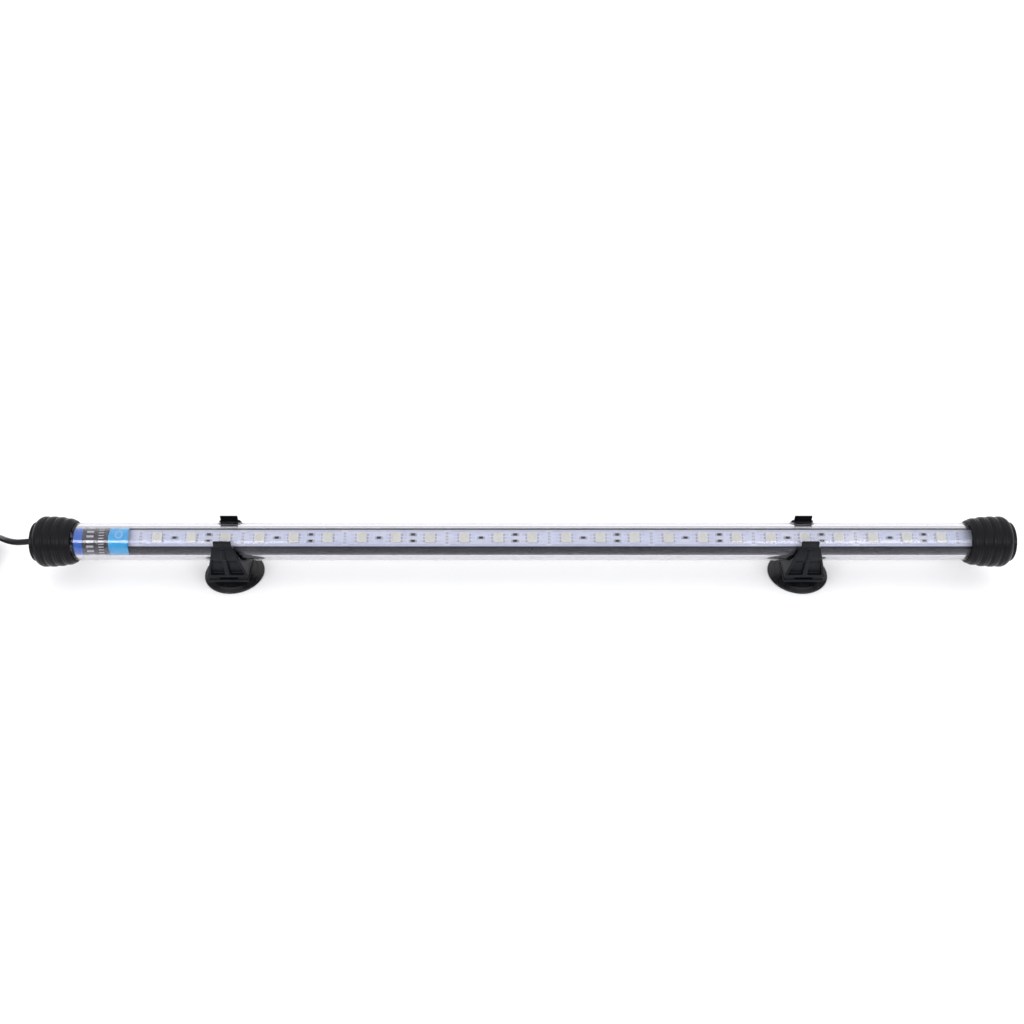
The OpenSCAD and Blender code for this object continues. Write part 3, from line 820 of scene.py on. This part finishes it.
def strip_box(x0, x1, y0, y1, z0, z1, bevel=0.02):
    """A bevelled box on the strip, in millimetres across and up, with x in metres."""
    return bevelled_box(
        (x0, STRIP_SIDE + y0 * MM, z0), (x1, STRIP_SIDE + y1 * MM, z1), aimed, bevel * MM
    )


def make_board():
    """The tape, the white board, and the raised copper under its mask."""
    half = STRIP_WIDTH / 2 / MM
    tape_low = FLAT_Z + 0.005 * MM
    tape_top = FLAT_Z + 0.12 * MM
    link(
        "foam_tape", strip_box(
            BOARD_LEFT, BOARD_RIGHT, -half + 0.1, half - 0.1, tape_low, tape_top),
        TAPE_FOAM, "light", "tape", ("adhesive_tape",),
    )
    link(
        "strip_board", strip_box(
            BOARD_LEFT, BOARD_RIGHT, -half, half, tape_top, BOARD_TOP, 0.05),
        WHITE_MASK, "light", "board", ("led_board",),
    )
    rise = 0.035 * MM
    parts = []
    for segment in range(LED_COUNT // 3):
        x0 = STRIP_LEFT + segment * SEGMENT
        margin = 1.6 * MM
        for y0, y1 in ((-3.75, -2.95), (2.95, 3.75)):
            parts.append(strip_box(x0 + margin, x0 + SEGMENT - margin, y0, y1,
                                   BOARD_TOP, BOARD_TOP + rise, 0.015))
        for k in range(3):
            led_x = x0 + (k + 0.5) * LED_PITCH
            for y in (-1.6, 0, 1.6):
                reach = 5.2 * MM if (k, y) != (2, 0) else 3.4 * MM
                for way in (-1, 1):
                    a, b = sorted((led_x + way * 2.9 * MM, led_x + way * reach))
                    parts.append(strip_box(a, b, y - 0.35, y + 0.35,
                                           BOARD_TOP, BOARD_TOP + rise, 0.015))
    link("board_traces", join(parts), TRACE, "light", "board")


def half_disc(x, y, r, facing, z0, z1, count=10):
    """A half-round pad at a cut line."""
    points = []
    for z in (z0, z1):
        for k in range(count + 1):
            angle = math.pi * k / count - math.pi / 2
            points.append(aimed(x + facing * r * math.cos(angle), y + r * math.sin(angle), z))
    m = count + 1
    faces = [list(range(m)), list(range(2 * m - 1, m - 1, -1))]
    for k in range(m):
        n = (k + 1) % m
        faces.append([k, k + m, n + m, n])
    return points, faces


def make_pads():
    """Tinned pads at the cut lines, the solder round each LED's six leads, and the wire joints."""
    parts = []
    rise = 0.05 * MM
    for cut in range(LED_COUNT // 3 + 1):
        x = STRIP_LEFT + cut * SEGMENT
        for y in (-2.3, -0.75, 0.75, 2.3):
            for facing in (-1, 1):
                parts.append(half_disc(
                    x + facing * 0.12 * MM, STRIP_SIDE + y * MM, 0.55 * MM, facing,
                    BOARD_TOP, BOARD_TOP + rise))
    for i in range(LED_COUNT):
        led_x = STRIP_LEFT + (i + 0.5) * LED_PITCH
        for y in (-1.6, 0, 1.6):
            for way in (-1, 1):
                a, b = sorted((led_x + way * 2.5 * MM, led_x + way * 3.3 * MM))
                parts.append(strip_box(a, b, y - 0.5, y + 0.5, BOARD_TOP,
                                       BOARD_TOP + 0.1 * MM, 0.05))
    for y in (-2.2, 2.2):
        joint = [(0, 1.05), (0.1, 1.0), (0.35, 0.75), (0.7, 0.45), (1.0, 0.3), (1.05, 0)]
        centre = BOARD_LEFT + 1.6 * MM
        parts.append(revolved(
            [(a * MM, r * MM) for a, r in joint],
            lambda up, r, angle, y=y: aimed(
                centre + 1.2 * r * math.cos(angle), STRIP_SIDE + y * MM + r * math.sin(angle),
                BOARD_TOP + up), 24,
        ))
    link("solder_joints", join(parts), SOLDER, "light", "solder", ("solder_pads",), 40)


def led_place(i):
    """The places of one LED's points, from its own centre on the board."""
    x = STRIP_LEFT + (i + 0.5) * LED_PITCH
    return lambda a, b, c: aimed(x + a, STRIP_SIDE + b, BOARD_TOP + c)


def led_body(place):
    """A square package with a round reflector well and a corner cut that marks its cathode."""
    half, top, edge = LED_SIZE / 2, LED_HEIGHT, 0.12 * MM
    well_r, well_top_r, count = 1.75 * MM, 1.92 * MM, 48
    cut = 0.75 * MM

    def square(h, z):
        ring = []
        for k in range(count):
            angle = math.tau * k / count
            c, s = math.cos(angle), math.sin(angle)
            scale = h / max(abs(c), abs(s))
            x, y = c * scale, s * scale
            over = -(x + y) - (2 * h - cut)
            if over > 0:
                x, y = x + over / 2, y + over / 2
            ring.append((x, y, z))
        return ring

    def circle(r, z):
        return [(r * math.cos(math.tau * k / count), r * math.sin(math.tau * k / count), z)
                for k in range(count)]

    rings = [
        square(half - edge, 0), square(half, edge), square(half, top - 0.35 * MM),
        square(half - 0.08 * MM, top - edge), square(half - 0.08 * MM - edge, top),
        circle(well_top_r + 0.08 * MM, top), circle(well_top_r, top - 0.06 * MM),
        circle(well_r, top - LED_WELL_DEPTH),
    ]
    points = [place(*p) for ring in rings for p in ring]
    faces = []
    for s in range(len(rings) - 1):
        for k in range(count):
            n = (k + 1) % count
            faces.append([s * count + k, s * count + n, (s + 1) * count + n, (s + 1) * count + k])
    last = (len(rings) - 1) * count
    faces += [list(range(count - 1, -1, -1)), list(range(last, last + count))]
    return points, faces


def make_leds():
    """The 24 packages, and in each three chips, the resin over them and six leads."""
    bodies, chips, resins, leads = [], [], [], []
    floor = LED_HEIGHT - LED_WELL_DEPTH
    for i in range(LED_COUNT):
        place = led_place(i)
        bodies.append(led_body(place))
        for y in (-0.95, 0, 0.95):
            chips.append(bevelled_box(
                (-0.3 * MM, (y - 0.24) * MM, floor), (0.3 * MM, (y + 0.24) * MM, floor + 0.12 * MM),
                place, 0.02 * MM))
        dome = [(floor + 0.005 * MM, 0), (floor + 0.005 * MM, 1.74 * MM),
                (floor + 0.41 * MM, 1.88 * MM), (floor + 0.38 * MM, 1.5 * MM),
                (floor + 0.36 * MM, 0.8 * MM), (floor + 0.355 * MM, 0)]
        resins.append(revolved(
            dome, lambda up, r, angle, p=place: p(r * math.cos(angle), r * math.sin(angle), up), 40))
        for y in (-1.6, 0, 1.6):
            for way in (-1, 1):
                a, b = sorted((way * 2.42 * MM, way * 2.95 * MM))
                leads.append(bevelled_box(
                    (a, (y - 0.4) * MM, 0.02 * MM), (b, (y + 0.4) * MM, 0.3 * MM), place, 0.05 * MM))
    link("led_bodies", join(bodies), PACKAGE, "light", "led_package", ("led_packages",), 30)
    link("led_chips", join(chips), CHIP, "light", "led_window")
    link("led_resin", join(resins), RESIN, "light", "led_window", ("led_windows",), 50)
    link("led_leads", join(leads), SOLDER, "light", "solder")


def make_resistors():
    """Chip resistors: a white ceramic base, a black glazed top and tinned ends."""
    tops, bases, ends = [], [], []
    for segment in range(LED_COUNT // 3):
        for k, y in ((1, 0), (2, -1.6), (2, 1.6)):
            x = STRIP_LEFT + segment * SEGMENT + k * LED_PITCH
            bases.append(strip_box(x - 1.3 * MM, x + 1.3 * MM, y - 0.68, y + 0.68,
                                   BOARD_TOP + 0.02 * MM, BOARD_TOP + 0.42 * MM, 0.04))
            tops.append(strip_box(x - 1.02 * MM, x + 1.02 * MM, y - 0.62, y + 0.62,
                                  BOARD_TOP + 0.4 * MM, BOARD_TOP + 0.5 * MM, 0.04))
            for way in (-1, 1):
                a, b = sorted((x + way * 1.0 * MM, x + way * 1.5 * MM))
                ends.append(strip_box(a, b, y - 0.7, y + 0.7, BOARD_TOP,
                                      BOARD_TOP + 0.46 * MM, 0.06))
                a, b = sorted((x + way * 1.35 * MM, x + way * 2.0 * MM))
                ends.append(strip_box(a, b, y - 0.62, y + 0.62, BOARD_TOP,
                                      BOARD_TOP + 0.14 * MM, 0.06))
    link("resistor_tops", join(tops), RESISTOR_BODY, "light", "resistor", ("resistors",))
    link("resistor_bases", join(bases), RESISTOR_BASE, "light", "resistor")
    link("resistor_ends", join(ends), SOLDER, "light", "solder")


def make_wiring():
    """The lead's end in the tube, its sleeve, and the two supply wires to the strip."""
    low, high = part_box("supply_cable_end")
    r = (high.z - low.z) / 2 - 0.005 * MM
    profile = [(low.x, 0), (low.x, r), (high.x - 0.2 * MM, r), (high.x, r - 0.2 * MM), (high.x, 0)]
    link("inner_lead", revolved(profile, along_x, 48), LEAD_JACKET,
         "light", "lead_jacket", ("supply_cable_end",), 50)
    low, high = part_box("shrink_sleeve")
    hole = LEAD_R + FIT_GAP
    sleeve = [(low.x, hole), (low.x + 0.1 * MM, 1.85 * MM), (low.x + 1.5 * MM, 1.98 * MM),
              (low.x + 5 * MM, 2 * MM), (high.x - 0.6 * MM, 1.95 * MM), (high.x, 1.7 * MM),
              (high.x, hole)]
    link("shrink_tube", revolved(sleeve, along_x, 48, True),
         SLEEVE_FILM, "light", "shrink_sleeve", ("shrink_sleeve",), 50)
    split = -218
    side_mm, left = STRIP_SIDE / MM, BOARD_LEFT / MM
    pad = BOARD_TOP / MM + 0.62
    for name, side, material in (("red_wire", 1, RED_PVC), ("black_wire", -1, BLACK_PVC)):
        route = [
            (split, side * 0.7, 0), (split + 4, side * 0.7, 0),
            (split + 7, side_mm + side * 1.2, 1.4), (split + 11, side_mm + side * 1.8, 3.6),
            (split + 15, side_mm + side * 2.2, 5.1), (left - 3.5, side_mm + side * 2.2, 5.2),
            (left - 1, side_mm + side * 2.2, pad + 0.2), (left + 0.7, side_mm + side * 2.2, pad),
        ]
        placed = [aimed(x * MM, y * MM, z * MM) for x, y, z in route]
        link(f"{name}_insulation", tube_mesh(
            smooth_path(placed, 0.5 * MM), 0.49 * MM, 14), material, "light", name, (name,), 60)


make_bar()
make_board()
make_pads()
make_leds()
make_resistors()
make_wiring()


# ---------------------------------------------------------------- label

LABEL_LOW, LABEL_HIGH = math.radians(150), math.radians(-60)
LABEL_FILM = 0.09 * MM


def label_material():
    """Printed film: a dark field with plain pale bars, a blue band by the cap, and a blue patch
    with a curved edge and a ring. The pattern comes from the film's own UV map."""
    finish = Finish("printed_film", Coat_Weight=0.7, Coat_Roughness=0.06, Specular_IOR_Level=0.5)
    uv = finish.tree.nodes.new("ShaderNodeTexCoord").outputs["UV"]
    parts = finish.node("ShaderNodeSeparateXYZ", Vector=uv)
    x, y = parts.outputs["X"], parts.outputs["Y"]

    def maths(operation, a, b=0.0):
        made = finish.tree.nodes.new("ShaderNodeMath")
        made.operation = operation
        for socket, value in zip(made.inputs, (a, b)):
            if isinstance(value, bpy.types.NodeSocket):
                finish.tree.links.new(value, socket)
            else:
                socket.default_value = value
        return made.outputs[0]

    def between(value, low, high):
        return maths("MULTIPLY", maths("GREATER_THAN", value, low), maths("LESS_THAN", value, high))

    def paint(under, over, mask):
        made = finish.tree.nodes.new("ShaderNodeMix")
        made.data_type = "RGBA"
        finish.tree.links.new(mask, made.inputs["Factor"])
        for socket, value in ((made.inputs[6], under), (made.inputs[7], over)):
            if isinstance(value, bpy.types.NodeSocket):
                finish.tree.links.new(value, socket)
            else:
                socket.default_value = (*value, 1)
        return made.outputs[2]

    mottle = finish.noise(900, 3)
    base = finish.colours(mottle, [(0.3, (0.015, 0.016, 0.02)), (0.7, (0.04, 0.04, 0.045))], None)
    bars = between(maths("FRACT", maths("MULTIPLY", y, 11.0)), 0.22, 0.62)
    wide_column = maths("MULTIPLY", bars, between(x, 0.24, 0.37))
    fine = between(maths("FRACT", maths("MULTIPLY", y, 19.0)), 0.3, 0.6)
    narrow_column = maths("MULTIPLY", fine, between(x, 0.46, 0.56))
    columns = maths("MULTIPLY", maths("MAXIMUM", wide_column, narrow_column), between(y, 0.1, 0.93))
    colour = paint(base, (0.62, 0.62, 0.63), columns)
    colour = paint(colour, (0.002, 0.15, 0.72), maths("LESS_THAN", x, 0.16))
    curve = maths("MULTIPLY", maths("POWER", maths("ABSOLUTE", maths("SUBTRACT", y, 0.5)), 2.0), 0.34)
    patch = maths("GREATER_THAN", maths("SUBTRACT", x, curve), 0.64)
    blue = finish.colours(finish.noise(260, 3), [
        (0.25, (0.005, 0.4, 0.95)), (0.6, (0.02, 0.55, 1.0)), (0.85, (0.12, 0.72, 1.0))
    ], None)
    colour = paint(colour, blue, patch)
    dx, dy = maths("SUBTRACT", x, 0.83), maths("MULTIPLY", maths("SUBTRACT", y, 0.62), 1.0)
    ring = maths("SQRT", maths("ADD", maths("MULTIPLY", dx, dx), maths("MULTIPLY", dy, dy)))
    colour = paint(colour, (0.35, 0.62, 0.9), between(ring, 0.05, 0.075))
    finish.link(colour, "Base Color")
    finish.link(finish.spread(finish.noise(400, 3), 0.12, 0.26), "Roughness")
    finish.bump(finish.noise(1200, 2), 0.08, 0.01 * MM)
    return finish.material


def make_label():
    """A thin film with its own thickness, rolled up inside the tube against its bore."""
    low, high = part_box("label")
    inner, outer = BORE_R - FIT_GAP - LABEL_FILM, BORE_R - FIT_GAP
    columns, rows = 28, 64
    mesh = bpy.data.meshes.new("label_film")
    made = bmesh.new()
    uv_layer = made.loops.layers.uv.new("film")
    grids = []
    for r in (outer, inner):
        grids.append([[made.verts.new(along_x(
            low.x + (high.x - low.x) * c / columns, r,
            LABEL_LOW + (LABEL_HIGH - LABEL_LOW) * k / rows)) for c in range(columns + 1)]
            for k in range(rows + 1)])

    def add(corners):
        face = made.faces.new([grids[g][k][c] for g, k, c in corners])
        for loop, (_, k, c) in zip(face.loops, corners):
            loop[uv_layer].uv = (c / columns, k / rows)

    for k in range(rows):
        for c in range(columns):
            add([(0, k, c), (0, k, c + 1), (0, k + 1, c + 1), (0, k + 1, c)])
            add([(1, k, c), (1, k + 1, c), (1, k + 1, c + 1), (1, k, c + 1)])
    for k in range(rows):
        add([(0, k, 0), (0, k + 1, 0), (1, k + 1, 0), (1, k, 0)])
        add([(0, k, columns), (1, k, columns), (1, k + 1, columns), (0, k + 1, columns)])
    for c in range(columns):
        add([(0, 0, c), (1, 0, c), (1, 0, c + 1), (0, 0, c + 1)])
        add([(0, rows, c), (0, rows, c + 1), (1, rows, c + 1), (1, rows, c)])
    bmesh.ops.recalc_face_normals(made, faces=made.faces)
    made.to_mesh(mesh)
    made.free()
    link("label_film", mesh, label_material(), "light", "label", ("label",), 40)


make_label()


# ---------------------------------------------------------------- clips and suction cups

def make_clip(name):
    """The clip's CAD shape with its edges rounded, as moulded plastic has them."""
    source = nodes[f"{name}_clip"]
    mesh = source.data.copy()
    mesh.materials.clear()
    made = bmesh.new()
    made.from_mesh(mesh)
    bmesh.ops.remove_doubles(made, verts=made.verts, dist=1e-6)
    made.to_mesh(mesh)
    made.free()
    clip = bpy.data.objects.new(f"{name}_clip_moulding", mesh)
    scene.collection.objects.link(clip)
    remesh = clip.modifiers.new("remesh", "REMESH")
    remesh.mode = "VOXEL"
    remesh.voxel_size = 0.2 * MM
    soften = clip.modifiers.new("soften", "SMOOTH")
    soften.factor = 0.5
    soften.iterations = 5
    thin = clip.modifiers.new("thin", "DECIMATE")
    thin.ratio = 0.22
    final = bpy.data.meshes.new_from_object(
        clip.evaluated_get(bpy.context.evaluated_depsgraph_get()))
    bpy.data.objects.remove(clip)
    return link(f"{name}_clip_moulding", final, CLIP_PLASTIC, f"{name}_clip", "clip_plastic",
                (f"{name}_clip",), 60)


def cup_profile():
    """Half of a cup's section as (height, radius) in millimetres: outside from the knob down to
    the rim, and back up the hollow underside."""
    outside = [
        (8.16, 0), (8.18, 2.6), (8.12, 3.4), (7.95, 3.85), (7.6, 4.0), (7.2, 3.98), (6.95, 3.75),
        (6.84, 3.2), (6.8, 2.75), (6.6, 2.6), (5.3, 2.6), (4.95, 2.75), (4.74, 3.2),
        (4.66, 4.0), (4.6, 4.9), (4.44, 5.5), (4.2, 6.1), (3.7, 7.2), (3.2, 8.3), (2.72, 9.4),
        (2.3, 10.4), (1.98, 11.2), (1.82, 11.6), (1.86, 11.85), (1.8, 12.1), (1.55, 12.5),
        (1.2, 13.3), (0.92, 14.1), (0.78, 14.5), (0.55, 14.8), (0.28, 14.9), (0.05, 14.82),
        (0.0, 14.6),
    ]
    under = [(0.0, 13.9), (0.06, 13.7), (0.3, 13.2), (0.8, 11.4), (1.4, 9.4), (2.0, 7.2),
             (2.4, 4.8), (2.58, 2.4), (2.62, 0)]
    return outside + under


def make_cup(name, x):
    """A suction cup: its section turned about its own upright axis."""
    profile = [(h * MM, r * MM) for h, r in cup_profile()]
    points, faces = revolved(
        profile, lambda up, r, angle: Vector((x + r * math.cos(angle), r * math.sin(angle), up)), 128)
    return link(f"{name}_cup_moulding", (points, faces), CUP_RUBBER,
                f"{name}_cup", "cup_rubber", (f"{name}_suction_cup",), 60)


make_clip("left")
make_clip("right")
make_cup("left", LEFT_CLIP_X)
make_cup("right", RIGHT_CLIP_X)


# ---------------------------------------------------------------- floor and light

def make_floor():
    """A plain pale sheet, just below the cups."""
    half, z = 3, -0.2 * MM
    points = [(-half, -half, z), (half, -half, z), (half, half, z), (-half, half, z)]
    mesh = mesh_of("floor", points, [[0, 1, 2, 3]])
    floor = bpy.data.objects.new("floor", mesh)
    scene.collection.objects.link(floor)
    mesh.materials.append(floor_paper())


def softbox(name, place, target, width, height, power):
    lamp = bpy.data.lights.new(name, "AREA")
    lamp.shape = "RECTANGLE"
    lamp.size, lamp.size_y, lamp.energy = width, height, power
    obj = bpy.data.objects.new(name, lamp)
    scene.collection.objects.link(obj)
    obj.location = place
    direction = Vector(target) - Vector(place)
    obj.rotation_euler = direction.to_track_quat("-Z", "Y").to_euler()


def make_light():
    world = bpy.data.worlds.new("studio")
    scene.world = world
    world.use_nodes = True
    background = world.node_tree.nodes["Background"]
    background.inputs["Color"].default_value = (0.97, 0.975, 1.0, 1)
    background.inputs["Strength"].default_value = 0.78
    sun = bpy.data.objects.new("soft_sky", bpy.data.lights.new("soft_sky", "SUN"))
    sun.data.energy = 1.45
    sun.data.angle = math.radians(120)
    sun.rotation_euler = (math.radians(-12), 0, 0)
    scene.collection.objects.link(sun)
    for side in (-1, 1):
        softbox(f"front_{side}", (side * 0.5, -0.72, 0.66), (side * 0.12, 0, 0), 0.42, 0.26, 2.6)


make_floor()
make_light()
scene.view_settings.view_transform = "Standard"
